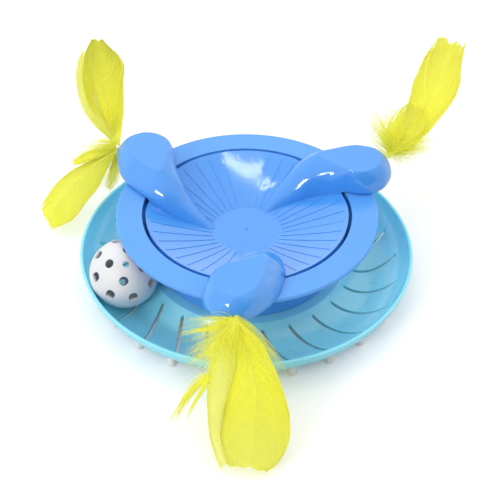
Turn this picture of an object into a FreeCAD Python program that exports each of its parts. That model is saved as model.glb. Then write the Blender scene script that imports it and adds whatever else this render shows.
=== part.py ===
import FreeCAD, Part
import math
import os

V = FreeCAD.Vector

# Cat ball track: a round tray with a ball channel, a cup-shaped housing whose ring
# covers the inner half of the channel, and a rotor with three feathered arms.
# Millimetres, +Z up, the spin axis is Z and the table is at z = 0.

# Channel and tray
track_radius = 79.0
channel_radius = 21.5
channel_center_z = 24.6
tray_wall = 2.0
land_top = 13.3
rim_top = 20.4
rim_round = 0.7
well_radius = 10.0
slot_count = 24
slot_width = 2.0
slot_inner_radius = 63.8
slot_outer_radius = 92.8
slot_sweep = 11.0
slot_bow = 1.1
slot_start_angle = -35.8
mark_count = 12
mark_radius = 2.5
mark_depth = 0.25
mark_angle = -10.0
tray_rib_count = 8
tray_rib_width = 1.6
tray_rib_depth = 4.5

# Feet
foot_count = 24
foot_circle = 92.0
foot_radius = 2.8
foot_round = 1.3
foot_start_angle = -72.5

# Housing: ring flange, cup wall, floor and pivot post
ring_top = 48.3
ring_radius = 79.0
ring_thickness = 2.3
ring_round = 0.8
cup_wall = 2.0
cup_foot_radius = 54.5
cup_hollow_gap = 1.7
cup_corner_drop = 4.0
cup_corner_step = 0.5
cup_bow_angle = 25.0
post_radius = 6.6
post_top = 29.9
locating_gap = 0.2
locating_end = 4.0

# Rotor
rotor_radius = 61.2
rotor_gap = 2.1
dish_flat_radius = 20.7
dish_depth = 14.0
dish_bow = 0.6
dish_wall = 2.0
skirt_height = 4.5
skirt_wall = 1.8
dish_rib_count = 39
dish_rib_width = 0.7
dish_rib_height = 0.35
dish_rib_start = 21.4
dish_rib_end = 58.2
dish_rib_angle = 87.0
gate_radius = 0.9
gate_depth = 0.4

# Arms
arm_angles = {"front": -92.0, "right": 28.0, "left": 148.0}
arm_height = 15.0
arm_widest_height = 3.5
arm_root_depth = 14.6
arm_wall = 2.2
arm_ring_gap = 0.8
arm_flare_shares = (0.0, 0.3, 0.65, 0.95)

# Pivot
spindle_radius = 4.0
running_clearance = 0.05
thrust_clearance = 0.1
end_play = 0.3
collar_radius = 6.4
shelf_z = 12.0
pocket_radius = 7.2
washer_radius = 6.5
washer_thickness = 1.0

# Screws
screw_radius = 1.5
screw_clearance = 0.05
screw_slot_width = 0.8
screw_slot_reach = 0.6
screw_slot_share = 0.45
screw_round_share = 0.4
pivot_screw_head_radius = 3.2
pivot_screw_head_height = 2.2
pivot_screw_length = 13.0
housing_screw_count = 4
housing_screw_circle = 38.0
housing_screw_angle = 45.0
housing_screw_head_radius = 3.0
housing_screw_head_height = 2.0
housing_screw_length = 13.0
tray_boss_radius = 5.0
tray_boss_depth = 5.0
counterbore_radius = 3.4
counterbore_depth = 2.5
housing_boss_radius = 4.0
housing_boss_height = 9.5
hole_spare_depth = 1.0

# Feather sockets, plugs and feathers
socket_height = 5.0
socket_side = -1.0
socket_depth = 12.0
socket_wall = 1.3
plug_radius = 2.5
plug_clearance = 0.05
plug_chamfer = 0.4
plug_inset = 1.0
plug_end_gap = 1.5
quill_radius = 0.75
quill_spacing = 1.1
quill_clearance = 0.05
quill_end_gap = 0.5
quill_bare_length = 3.0
quill_lead = 1.0
vane_thickness = 1.2
vane_cup = 0.12
vane_widest = 1.6
vane_fullness = 0.7
vane_sections = (0.0, 0.1, 0.25, 0.4, 0.55, 0.68, 0.8, 0.9, 0.97)

# Ball
ball_radius = 20.7
ball_wall = 1.4
ball_angle = -157.5
ball_lift = 0.3
ball_tilt = 33.6
ball_tilt_angle = -77.0
ball_spin = 75.0
small_hole_radius = 1.9
round_hole_radius = 2.75
round_hole_count = 4
round_hole_polar = 28.0
arch_hole_count = 8
arch_hole_polar = 59.0
arch_hole_width = 5.4
arch_hole_length = 5.8
hole_cut_start = 0.75
seam_tongue = 0.6
seam_overlap = 1.2
seam_clearance = 0.05

# Only for picking out edges
edge_tolerance = 0.01


def profile_point(radius, z):
    return V(radius, 0, z)


def line(a, b):
    return Part.LineSegment(a, b).toShape()


def arc(a, middle, b):
    return Part.Arc(a, middle, b).toShape()


def chain(points):
    return [line(a, b) for a, b in zip(points, points[1:])]


def lathe(edges):
    face = Part.Face(Part.Wire(edges))
    return face.revolve(V(0, 0, 0), V(0, 0, 1), 360)


def lathe_points(pairs):
    points = [profile_point(radius, z) for radius, z in pairs]
    return lathe(chain(points + points[:1]))


def turned(shape, angle):
    copy = shape.copy()
    copy.rotate(V(0, 0, 0), V(0, 0, 1), angle)
    return copy


def ring_of(shape, count, start=0.0):
    return [turned(shape, start + 360.0 * i / count) for i in range(count)]


def upright(radius, low, high, x=0.0):
    return Part.makeCylinder(radius, high - low, V(x, 0, low), V(0, 0, 1))


def level_edges(shape, low, high):
    """The shape's flat horizontal edges between two heights."""
    return [edge for edge in shape.Edges if edge.BoundBox.ZLength < edge_tolerance
            and low - edge_tolerance < edge.BoundBox.ZMin < high + edge_tolerance]


def channel_reach(z, surface_radius):
    return math.sqrt(surface_radius ** 2 - (channel_center_z - z) ** 2)


# Tray

def tray_body():
    under_radius = channel_radius + tray_wall
    land_under = land_top - tray_wall
    low_point = profile_point(track_radius, channel_center_z - under_radius)
    floor_point = profile_point(track_radius, channel_center_z - channel_radius)
    under_start = profile_point(track_radius - channel_reach(land_under, under_radius), land_under)
    rim_outer = profile_point(track_radius + channel_reach(rim_top, under_radius), rim_top)
    rim_inner = profile_point(track_radius + channel_reach(rim_top, channel_radius), rim_top)
    land_edge = profile_point(track_radius - channel_reach(land_top, channel_radius), land_top)
    well_outer = well_radius + tray_wall
    below = [profile_point(0, 0), profile_point(well_outer, 0),
             profile_point(well_outer, land_under), under_start]
    above = [land_edge, profile_point(well_radius, land_top), profile_point(well_radius, tray_wall),
             profile_point(0, tray_wall), profile_point(0, 0)]
    edges = chain(below)
    edges.append(arc(under_start, low_point, rim_outer))
    edges.append(line(rim_outer, rim_inner))
    edges.append(arc(rim_inner, floor_point, land_edge))
    edges += chain(above)
    body = lathe(edges)
    return body.makeFillet(rim_round, level_edges(body, rim_top, rim_top))


def slot_cutter():
    half = slot_width / 2
    inner = V(slot_inner_radius, 0, 0)
    sweep = math.radians(slot_sweep)
    outer = V(slot_outer_radius * math.cos(sweep), slot_outer_radius * math.sin(sweep), 0)
    run = (outer - inner).normalize()
    side = V(-run.y, run.x, 0)
    middle = (inner + outer) * 0.5 - side * slot_bow
    left = [inner + side * half, middle + side * half, outer + side * half]
    right = [outer - side * half, middle - side * half, inner - side * half]
    edges = [arc(*left), arc(left[-1], outer + run * half, right[0]),
             arc(*right), arc(right[-1], inner - run * half, left[0])]
    return Part.Face(Part.Wire(edges)).extrude(V(0, 0, rim_top))


def tray():
    land_under = land_top - tray_wall
    body = tray_body()
    well_outer = well_radius + tray_wall
    rib_end = track_radius - channel_reach(land_under, channel_radius + tray_wall)
    rib = Part.makeBox(rib_end - well_outer + tray_wall, tray_rib_width, tray_rib_depth,
                       V(well_outer - tray_wall / 2, -tray_rib_width / 2, land_under - tray_rib_depth))
    boss = upright(tray_boss_radius, land_under - tray_boss_depth, land_under, housing_screw_circle)
    ribs = ring_of(rib, tray_rib_count)
    bosses = ring_of(boss, housing_screw_count, housing_screw_angle)
    body = body.fuse(ribs + bosses)
    boss_bottom = land_under - tray_boss_depth
    screw_hole = upright(screw_radius + screw_clearance, 0, land_top + 1, housing_screw_circle)
    head_hole = upright(counterbore_radius, 0, boss_bottom + counterbore_depth, housing_screw_circle)
    cuts = ring_of(slot_cutter(), slot_count, slot_start_angle)
    cuts += ring_of(screw_hole.fuse(head_hole), housing_screw_count, housing_screw_angle)
    mark_floor = channel_center_z - channel_radius
    mark = upright(mark_radius, mark_floor - mark_depth, mark_floor + 1, track_radius)
    cuts += ring_of(mark, mark_count, mark_angle)
    return body.cut(cuts).removeSplitter()


def tray_feet():
    foot = upright(foot_radius, 0, land_top, foot_circle)
    foot = foot.makeFillet(foot_round, level_edges(foot, 0, 0))
    tube = Part.makeTorus(track_radius, channel_radius + tray_wall, V(0, 0, channel_center_z))
    return Part.makeCompound(ring_of(foot.cut(tube), foot_count, foot_start_angle))


# Housing

def housing():
    flange_inner = rotor_radius + rotor_gap
    flange_under = ring_top - ring_thickness
    corner_z = ring_top - ring_thickness - cup_corner_drop
    hug_radius = ball_radius + cup_hollow_gap
    center_z = ball_center_z()
    corner = profile_point(track_radius - math.sqrt(hug_radius ** 2 - (corner_z - center_z) ** 2), corner_z)
    waist = profile_point(track_radius - hug_radius, center_z)
    bow_angle = math.radians(cup_bow_angle)
    bow = profile_point(track_radius - hug_radius * math.cos(bow_angle),
                        center_z + hug_radius * math.sin(bow_angle))
    outer_foot = profile_point(cup_foot_radius, land_top)
    inner_radius = hug_radius + cup_wall
    inner_corner = profile_point(flange_inner, center_z + math.sqrt(
        inner_radius ** 2 - (track_radius - flange_inner) ** 2))
    inner_waist = profile_point(track_radius - inner_radius, center_z)
    inner_bow = profile_point(track_radius - inner_radius * math.cos(bow_angle),
                              center_z + inner_radius * math.sin(bow_angle))
    floor_top = land_top + cup_wall
    spigot = well_radius - locating_gap
    bore = spindle_radius + running_clearance
    outside = [profile_point(flange_inner, ring_top), profile_point(ring_radius, ring_top),
               profile_point(ring_radius, flange_under),
               profile_point(corner.x + cup_corner_step, flange_under), corner]
    below = [waist, outer_foot, profile_point(spigot, land_top), profile_point(spigot, locating_end),
             profile_point(pocket_radius, locating_end), profile_point(pocket_radius, shelf_z),
             profile_point(bore, shelf_z), profile_point(bore, post_top),
             profile_point(post_radius, post_top), profile_point(post_radius, floor_top),
             profile_point(cup_foot_radius - cup_wall, floor_top), inner_waist]
    edges = chain(outside)
    edges.append(arc(corner, bow, waist))
    edges += chain(below)
    edges.append(arc(inner_waist, inner_bow, inner_corner))
    edges.append(line(inner_corner, outside[0]))
    body = lathe(edges)
    top_edges = [edge for edge in level_edges(body, ring_top, ring_top)
                 if edge.BoundBox.XMax > ring_radius - edge_tolerance]
    body = body.makeFillet(ring_round, top_edges)
    boss = upright(housing_boss_radius, land_top + cup_wall / 2, floor_top + housing_boss_height,
                   housing_screw_circle)
    hole_top = land_top - tray_wall - tray_boss_depth + counterbore_depth
    hole_top += housing_screw_length + hole_spare_depth
    hole = upright(screw_radius + screw_clearance, 0, hole_top, housing_screw_circle)
    body = body.fuse(ring_of(boss, housing_screw_count, housing_screw_angle))
    return body.cut(ring_of(hole, housing_screw_count, housing_screw_angle)).removeSplitter()


def screw(head_radius, head_height, length, seat_z, x=0.0):
    head = upright(head_radius, seat_z - head_height, seat_z, x)
    head_bottom = seat_z - head_height
    head = head.makeFillet(head_height * screw_round_share, level_edges(head, head_bottom, head_bottom))
    slot_half = head_radius * screw_slot_reach
    slot = Part.makeBox(2 * slot_half, screw_slot_width, head_height * screw_slot_share,
                        V(x - slot_half, -screw_slot_width / 2, head_bottom))
    cross = slot.copy()
    cross.rotate(V(x, 0, 0), V(0, 0, 1), 90)
    shank = upright(screw_radius, seat_z - head_height / 2, seat_z + length, x)
    return head.fuse(shank).cut([slot, cross])


def housing_screws():
    seat = land_top - tray_wall - tray_boss_depth + counterbore_depth
    one = screw(housing_screw_head_radius, housing_screw_head_height, housing_screw_length,
                seat, housing_screw_circle)
    return Part.makeCompound(ring_of(one, housing_screw_count, housing_screw_angle))


# Rotor

def dish_top_arc(offset=0.0):
    low = ring_top - dish_depth + offset
    high = ring_top + offset
    start = profile_point(dish_flat_radius, low)
    end = profile_point(rotor_radius, high)
    middle = profile_point((dish_flat_radius + rotor_radius) / 2, (low + high) / 2 - dish_bow)
    return start, middle, end


def dish():
    start, middle, end = dish_top_arc()
    under_start, under_middle, under_end = dish_top_arc(-dish_wall)
    skirt_foot = ring_top - skirt_height
    skirt_inner = rotor_radius - skirt_wall
    spindle_end = shelf_z - end_play
    collar_end = post_top + thrust_clearance
    under_arc = Part.Arc(under_start, under_middle, under_end)
    cutter = Part.LineSegment(profile_point(skirt_inner, skirt_foot), profile_point(skirt_inner, ring_top))
    meet = under_arc.intersect(cutter)[0]
    meet_point = V(meet.X, meet.Y, meet.Z)
    halfway = under_arc.value((under_arc.parameter(under_start) + under_arc.parameter(meet_point)) / 2)
    edges = [line(profile_point(0, start.z), start), arc(start, middle, end)]
    edges += chain([end, profile_point(rotor_radius, skirt_foot), profile_point(skirt_inner, skirt_foot),
                    meet_point])
    edges.append(arc(meet_point, halfway, under_start))
    edges += chain([under_start, profile_point(collar_radius, under_start.z),
                    profile_point(collar_radius, collar_end), profile_point(spindle_radius, collar_end),
                    profile_point(spindle_radius, spindle_end), profile_point(0, spindle_end),
                    profile_point(0, start.z)])
    return lathe(edges)


def dish_ribs():
    start, middle, end = dish_top_arc(dish_rib_height)
    foot_start, foot_middle, foot_end = dish_top_arc(-dish_wall / 2)
    edges = [arc(start, middle, end), line(end, foot_end),
             arc(foot_end, foot_middle, foot_start), line(foot_start, start)]
    blade = Part.Face(Part.Wire(edges)).extrude(V(0, dish_rib_width, 0))
    blade.translate(V(0, -dish_rib_width / 2, 0))
    window = Part.makeBox(dish_rib_end - dish_rib_start, dish_rib_width, ring_top,
                          V(dish_rib_start, -dish_rib_width / 2, 0))
    return ring_of(blade.common(window), dish_rib_count, dish_rib_angle)


# Arm outlines in the arm's own frame: x points out along the arm, y anticlockwise.
# Each starts at the outer end, runs down the clockwise side to the tail and back.
arm_root_outline = [(91, 0), (88.5, -10.5), (81, -17), (72, -17.5), (61.5, -11.5), (44, 1.5),
                    (28, 6), (15.5, 9.5), (26, 18.5), (45, 22.5), (68, 20.5), (82, 14)]
arm_widest_outline = [(96.3, 0), (93, -13), (83.5, -21.3), (72, -22), (61.5, -14), (51.5, -3),
                      (42, 7), (38.5, 14.5), (45, 21), (57, 25), (71, 24.3), (85, 17.5)]
arm_top_outline = [(89.5, -1), (87, -10.5), (80.5, -15.8), (72.5, -15.8), (65.5, -11.5), (60.5, -4),
                   (57, 4), (54.5, 11), (56, 16.3), (63, 18), (72, 16.8), (82, 11)]


# From the widest level to the flat top: the share of the way in, and of the way up
arm_shoulder = [(0.06, 0.3), (0.3, 0.72), (0.72, 0.93), (0.92, 1.0), (1.0, 1.0)]


def inset_outline(points, wall):
    """The outline's points moved inwards by the wall, square to the line through both neighbours."""
    moved = []
    for i, (x, y) in enumerate(points):
        before = points[i - 1]
        after = points[(i + 1) % len(points)]
        run = V(after[0] - before[0], after[1] - before[1], 0).normalize()
        moved.append((x + run.y * wall, y - run.x * wall))
    return moved


def blended(points, others, share):
    return [(a[0] + (b[0] - a[0]) * share, a[1] + (b[1] - a[1]) * share)
            for a, b in zip(points, others)]


def fitted_controls(points):
    """Control points of the closed cubic curve that runs through the outline's points."""
    controls = list(points)
    for _ in range(25):
        fixed = []
        for i, (x, y) in enumerate(points):
            before = controls[i - 1]
            here = controls[i]
            after = controls[(i + 1) % len(points)]
            fixed.append((here[0] + x - (before[0] + 4 * here[0] + after[0]) / 6,
                          here[1] + y - (before[1] + 4 * here[1] + after[1]) / 6))
        controls = fixed
    return controls


def arm_levels(wall):
    """Outlines of the arm and their heights, from its root in the dish to its flat top."""
    outlines = [arm_root_outline, arm_widest_outline, arm_top_outline]
    if wall:
        outlines = [inset_outline(points, wall) for points in outlines]
    root, widest, top = outlines
    low = ring_top - arm_root_depth - wall
    waist = ring_top + arm_widest_height
    high = ring_top + arm_height - wall
    levels = [(blended(root, widest, share), low + (waist - low) * share)
              for share in arm_flare_shares]
    for inward, rise in arm_shoulder:
        levels.append((blended(widest, top, inward), waist + (high - waist) * rise))
    return levels


def arm_form(wall=0.0):
    """The arm's outside, or with a wall the hollow inside it."""
    levels = arm_levels(wall)
    poles = [[V(x, y, z) for x, y in fitted_controls(outline)] for outline, z in levels]
    rows = len(poles)
    columns = len(poles[0])
    surface = Part.BSplineSurface()
    surface.buildFromPolesMultsKnots(poles, [4] + [1] * (rows - 4) + [4], [1] * (columns + 1),
                                     list(range(rows - 2)), list(range(columns + 1)), False, True, 3, 3)
    side = surface.toShape()
    flat = [edge for edge in side.Edges if edge.BoundBox.ZLength < 0.001]
    caps = [Part.Face(Part.Wire([edge])) for edge in flat]
    shell = Part.Shell([side] + caps)
    shell.sewShape()
    solid = Part.Solid(shell)
    if solid.Volume < 0:
        solid.reverse()
    return solid


def space_under_rotor():
    """Everything below the dish's underside and, past its rim, below the arms' gap over the ring."""
    under_start, under_middle, under_end = dish_top_arc(-dish_wall)
    overhang_z = ring_top + arm_ring_gap
    far = 2 * ring_radius
    edges = chain([under_end, profile_point(rotor_radius, overhang_z), profile_point(far, overhang_z),
                   profile_point(far, 0), profile_point(0, 0), profile_point(0, under_start.z),
                   under_start])
    edges.append(arc(under_start, under_middle, under_end))
    return lathe(edges)


def rotor():
    arm = arm_form().cut(space_under_rotor())
    hollow = arm_form(arm_wall)
    body = dish().fuse(dish_ribs())
    body = body.fuse([turned(arm, angle) for angle in arm_angles.values()])
    body = body.cut([turned(hollow, angle) for angle in arm_angles.values()])
    skirt = lathe_points([(rotor_radius - skirt_wall, ring_top - skirt_height),
                          (rotor_radius, ring_top - skirt_height), (rotor_radius, ring_top),
                          (rotor_radius - skirt_wall, ring_top - dish_wall / 2)])
    sockets = [turned(socket(), angle) for angle in arm_angles.values()]
    body = body.fuse([skirt] + sockets)
    bores = [turned(socket_bore(), angle) for angle in arm_angles.values()]
    pilot = upright(screw_radius + screw_clearance, 0,
                    shelf_z - end_play - washer_thickness + pivot_screw_length + hole_spare_depth)
    dish_floor = ring_top - dish_depth
    gate = upright(gate_radius, dish_floor - gate_depth, dish_floor + 1)
    return body.cut(bores + [pilot, gate]).removeSplitter()


def socket():
    """A tube behind the arm's end wall, hung from the roof of the hollow by a web."""
    height = ring_top + socket_height
    outer = plug_radius + plug_clearance + socket_wall
    end = arm_widest_outline[0][0]
    start = end - socket_depth - arm_wall / 2
    tube = Part.makeCylinder(outer, end - arm_wall / 2 - start, V(start, socket_side, height), V(1, 0, 0))
    roof = ring_top + arm_height - arm_wall / 2
    web_end = arm_top_outline[0][0] - arm_wall
    web = Part.makeBox(web_end - start, socket_wall, roof - height,
                       V(start, socket_side - socket_wall / 2, height))
    return tube.fuse(web)


def socket_bore():
    end = arm_widest_outline[0][0]
    start = end - socket_depth
    return Part.makeCylinder(plug_radius + plug_clearance, 2 * socket_depth,
                             V(start, socket_side, ring_top + socket_height), V(1, 0, 0))


def pivot_washer():
    high = shelf_z - end_play
    return lathe_points([(screw_radius + screw_clearance, high - washer_thickness),
                         (washer_radius, high - washer_thickness), (washer_radius, high),
                         (screw_radius + screw_clearance, high)])


def pivot_screw():
    return screw(pivot_screw_head_radius, pivot_screw_head_height, pivot_screw_length,
                 shelf_z - end_play - washer_thickness)


# Feathers

def plug_span():
    bore_end = arm_widest_outline[0][0]
    return bore_end - socket_depth + plug_end_gap, bore_end - plug_inset


def quill_height(side):
    return ring_top + socket_height + side * quill_spacing


def feather_plug():
    start, end = plug_span()
    height = ring_top + socket_height
    plug = Part.makeCylinder(plug_radius, end - start, V(start, socket_side, height), V(1, 0, 0))
    edges = [edge for edge in plug.Edges if edge.BoundBox.XLength < edge_tolerance]
    plug = plug.makeChamfer(plug_chamfer, edges)
    holes = [Part.makeCylinder(quill_radius + quill_clearance, end - start,
                               V(start, socket_side, quill_height(side)), V(1, 0, 0)) for side in (-1, 1)]
    return plug.cut(holes)


def arm_place(angle, x, y, z):
    turn = math.radians(angle)
    return V(x * math.cos(turn) - y * math.sin(turn), x * math.sin(turn) + y * math.cos(turn), z)


def feather(angle, side, path, facing, half_width):
    """A quill along the plug's hole, then a leaf-shaped vane along a smooth path to the tip."""
    start, end = plug_span()
    z = quill_height(side)
    seat = arm_place(angle, start + quill_end_gap, socket_side, z)
    mouth = arm_place(angle, end + quill_bare_length, socket_side, z)
    ahead = (mouth - seat).normalize()
    lead = ahead * quill_lead
    quill = Part.makeCylinder(quill_radius, (mouth + lead - seat).Length, seat, ahead)
    curve = Part.BSplineCurve()
    curve.interpolate([mouth - lead, mouth + lead] + [V(*point) for point in path])
    wires = []
    for share in vane_sections:
        along = curve.FirstParameter + share * (curve.LastParameter - curve.FirstParameter)
        point = curve.value(along)
        forward = curve.tangent(along)[0]
        across = forward.cross(V(*facing)).normalize()
        up = across.cross(forward).normalize()
        spread = math.sin(math.pi * share ** vane_widest) ** vane_fullness
        width = quill_radius + (half_width - quill_radius) * spread
        rise = up * (vane_cup * width)
        half_thick = up * (vane_thickness / 2)
        left = point - across * width
        right = point + across * width
        wires.append(Part.Wire([arc(left, point + rise + half_thick, right),
                                arc(right, point + rise - half_thick, left)]))
    return quill.fuse(Part.makeLoft(wires, True, False))


# Arm, hole of the plug (1 upper, -1 lower), path to the tip, side that faces up, half width
feather_paths = {
    "feather_front": ("front", 1, [(-4, -111, 52), (-2, -124, 34), (1, -143, 16), (2, -166, 4)],
                      (0, -0.6, 0.8), 24),
    "feather_left_upper": ("left", 1, [(-87, 67, 62), (-93, 79, 77), (-95, 92, 90), (-94, 109, 99)],
                           (0.35, -0.75, 0.55), 14),
    "feather_left_lower": ("left", -1, [(-94, 48, 48), (-106, 42, 35), (-118, 40, 21), (-130, 39, 8)],
                           (-0.4, -0.5, 0.75), 10.5),
    "feather_right": ("right", 1, [(98, 64, 63), (111, 78, 77), (122, 94, 90), (132, 112, 99)],
                      (-0.25, -0.75, 0.6), 12.5),
}


# Ball

def ball_center_z():
    return channel_center_z - channel_radius + ball_radius + ball_lift


def arch_cutter():
    half = arch_hole_width / 2
    low = -arch_hole_length / 2
    shoulder = arch_hole_length / 2 - half
    corners = [V(shoulder, half, 0), V(low, half, 0), V(low, -half, 0), V(shoulder, -half, 0)]
    edges = chain(corners)
    edges.append(arc(corners[-1], V(shoulder + half, 0, 0), corners[0]))
    cutter = Part.Face(Part.Wire(edges)).extrude(V(0, 0, ball_radius))
    cutter.translate(V(0, 0, ball_radius * hole_cut_start))
    return cutter


def tipped(shape, polar, around):
    copy = shape.copy()
    copy.rotate(V(0, 0, 0), V(0, 1, 0), polar)
    copy.rotate(V(0, 0, 0), V(0, 0, 1), around)
    return copy


def ball_half(has_tongue):
    """The half above the seam, with its pole on +Z."""
    inner = ball_radius - ball_wall
    step = inner + seam_tongue
    lean = math.sqrt(0.5)
    outer_arc = arc(V(0, 0, ball_radius), V(lean * ball_radius, 0, lean * ball_radius), V(ball_radius, 0, 0))
    if has_tongue:
        seam = [V(ball_radius, 0, 0), V(step, 0, 0), V(step, 0, -seam_overlap), V(inner, 0, -seam_overlap),
                V(inner, 0, 0)]
    else:
        groove = step + seam_clearance
        depth = seam_overlap + seam_clearance
        seam = [V(ball_radius, 0, 0), V(groove, 0, 0), V(groove, 0, depth),
                V(math.sqrt(inner ** 2 - depth ** 2), 0, depth)]
    inner_arc = arc(seam[-1], V(lean * inner, 0, lean * inner), V(0, 0, inner))
    half = lathe([outer_arc] + chain(seam) + [inner_arc, line(V(0, 0, inner), V(0, 0, ball_radius))])
    cut_start = ball_radius * hole_cut_start
    pole_hole = upright(small_hole_radius, cut_start, 2 * ball_radius)
    round_hole = upright(round_hole_radius, cut_start, 2 * ball_radius)
    cuts = [pole_hole]
    cuts += [tipped(round_hole, round_hole_polar, 360 * i / round_hole_count)
             for i in range(round_hole_count)]
    arch = arch_cutter()
    arch.rotate(V(0, 0, 0), V(0, 0, 1), 180)
    cuts += [tipped(arch, arch_hole_polar, 360 * (i + 0.5) / arch_hole_count)
             for i in range(arch_hole_count)]
    return half.cut(cuts)


def placed_ball(half):
    half.rotate(V(0, 0, 0), V(0, 0, 1), ball_spin)
    half.rotate(V(0, 0, 0), V(0, 1, 0), ball_tilt)
    half.rotate(V(0, 0, 0), V(0, 0, 1), ball_tilt_angle)
    half.translate(arm_place(ball_angle, track_radius, 0, ball_center_z()))
    return half


def ball_near_half():
    return placed_ball(ball_half(True))


def ball_far_half():
    half = ball_half(False)
    half.rotate(V(0, 0, 0), V(1, 0, 0), 180)
    return placed_ball(half)


def all_pieces():
    pieces = {
        "tray": tray(),
        "tray_feet": tray_feet(),
        "housing": housing(),
        "housing_screws": housing_screws(),
        "rotor": rotor(),
        "pivot_washer": pivot_washer(),
        "pivot_screw": pivot_screw(),
        "ball_near_half": ball_near_half(),
        "ball_far_half": ball_far_half(),
    }
    plug = feather_plug()
    for name, angle in arm_angles.items():
        pieces["feather_plug_" + name] = turned(plug, angle)
    for name, (arm, side, path, facing, width) in feather_paths.items():
        pieces[name] = feather(arm_angles[arm], side, path, facing, width)
    return pieces


os.makedirs("parts", exist_ok=True)
for name, shape in all_pieces().items():
    shape.exportStep("parts/" + name + ".step")
    print(name, "solids", len(shape.Solids), "valid", shape.isValid(), "volume", round(shape.Volume, 1),
          "triangles", len(shape.tessellate(0.1)[1]))
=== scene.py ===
import math
import random
import bpy
import numpy as np
from mathutils import Matrix, Vector


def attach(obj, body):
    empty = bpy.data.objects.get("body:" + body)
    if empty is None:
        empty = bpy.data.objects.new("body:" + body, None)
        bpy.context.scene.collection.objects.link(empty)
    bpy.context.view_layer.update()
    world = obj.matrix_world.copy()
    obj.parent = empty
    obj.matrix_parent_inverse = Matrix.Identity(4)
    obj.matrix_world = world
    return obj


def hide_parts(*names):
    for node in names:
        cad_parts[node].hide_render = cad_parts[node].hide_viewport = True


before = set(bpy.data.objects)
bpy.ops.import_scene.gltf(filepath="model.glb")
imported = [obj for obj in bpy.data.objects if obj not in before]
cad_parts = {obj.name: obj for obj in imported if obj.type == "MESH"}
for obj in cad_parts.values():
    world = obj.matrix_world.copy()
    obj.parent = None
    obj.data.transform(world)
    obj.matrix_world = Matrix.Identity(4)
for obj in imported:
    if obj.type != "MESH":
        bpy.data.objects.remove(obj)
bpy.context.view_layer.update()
mm = 0.001
print("frame loaded:", len(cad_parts), "nodes")


def addObject(name, data):
    made = bpy.data.objects.new(name, data)
    bpy.context.scene.collection.objects.link(made)
    return made


# Camera

cameraView = {"place": (0.0021, -0.6980, 0.6232), "lens": 108.0, "sensor": 36.0, "tilt": 40.93, "roll": 0.85}


def placeCamera(view):
    data = bpy.data.cameras.new("photoCamera")
    data.lens = view["lens"]
    data.sensor_width = view["sensor"]
    data.sensor_fit = "HORIZONTAL"
    tilt = math.radians(view["tilt"])
    roll = math.radians(view["roll"])
    right = Vector((math.cos(roll), math.sin(roll) * math.sin(tilt), math.sin(roll) * math.cos(tilt)))
    up = Vector((-math.sin(roll), math.cos(roll) * math.sin(tilt), math.cos(roll) * math.cos(tilt)))
    back = Vector((0.0, -math.cos(tilt), math.sin(tilt)))
    turn = Matrix((right, up, back)).transposed().to_4x4()
    camera = addObject("photoCamera", data)
    camera.matrix_world = Matrix.Translation(Vector(view["place"])) @ turn
    bpy.context.scene.camera = camera


placeCamera(cameraView)
print("camera placed")


# Studio: white floor that keeps a soft shadow, even white surroundings, two soft panels

studio = {
    "floorSize": 6.0, "floorColor": (0.8, 0.8, 0.8), "floorSeen": (0.88, 0.88, 0.88), "floorLift": 0.15,
    "worldLight": 1.50, "frontShare": 0.08, "frontSide": (0.36, -0.86, -0.34), "dimRange": (0.1, 0.9),
    "topPanel": {"aim": (0.02, 0.24, 0.97), "distance": 1.2, "size": (0.26, 0.035), "power": 0.3},
    "leftPanel": {"aim": (-0.50, -0.74, 0.46), "distance": 1.3, "size": (0.34, 0.16), "power": 3.2},
}


def addPanel(name, panel):
    data = bpy.data.lights.new(name, "AREA")
    data.shape = "RECTANGLE"
    data.size, data.size_y = panel["size"]
    data.energy = panel["power"]
    lamp = addObject(name, data)
    aim = Vector(panel["aim"]).normalized()
    lamp.location = aim * panel["distance"]
    lamp.rotation_euler = aim.to_track_quat("Z", "Y").to_euler()


def setInputs(tree, node, inputs):
    # Each input gets a plain value, or a link from another node's output
    for key, value in inputs.items():
        if isinstance(value, bpy.types.NodeSocket):
            tree.links.new(value, node.inputs[key])
        else:
            node.inputs[key].default_value = value


def addNode(tree, kind, inputs=None, **settings):
    node = tree.nodes.new("ShaderNode" + kind)
    for key, value in settings.items():
        setattr(node, key, value)
    setInputs(tree, node, inputs or {})
    return node


def mapRange(tree, source, fromRange, toRange, **settings):
    node = addNode(tree, "MapRange", {"Value": source, "From Min": fromRange[0], "From Max": fromRange[1],
                                      "To Min": toRange[0], "To Max": toRange[1]}, **settings)
    return node.outputs["Result"]


def opaque(color):
    return (*color, 1)


def colorMix(tree, factor, first, second):
    mix = addNode(tree, "Mix", {"Factor": factor, "A": first, "B": second}, data_type="RGBA")
    return mix.outputs["Result"]


def setWorld(values):
    world = bpy.data.worlds.new("paleStudio")
    bpy.context.scene.world = world
    world.use_nodes = True
    tree = world.node_tree
    tree.nodes.clear()
    path = addNode(tree, "LightPath").outputs
    seen = addNode(tree, "Math", {0: path["Is Camera Ray"], 1: path["Is Transmission Ray"]}, operation="MAXIMUM")
    place = addNode(tree, "TexCoord").outputs["Generated"]
    toFront = addNode(tree, "VectorMath", {0: place, 1: values["frontSide"]}, operation="DOT_PRODUCT")
    light = (values["worldLight"], values["worldLight"] * values["frontShare"])
    dimmed = mapRange(tree, toFront.outputs["Value"], values["dimRange"], light,
                      interpolation_type="SMOOTHSTEP")  # darker towards the front
    plain = addNode(tree, "Background", {"Strength": dimmed})
    white = addNode(tree, "Background", {"Color": (1.0, 1.0, 1.0, 1.0), "Strength": 1.0})  # what the camera sees
    mix = addNode(tree, "MixShader", {"Fac": seen.outputs[0], 1: plain.outputs[0], 2: white.outputs[0]})
    addNode(tree, "OutputWorld", {"Surface": mix.outputs[0]})


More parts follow.
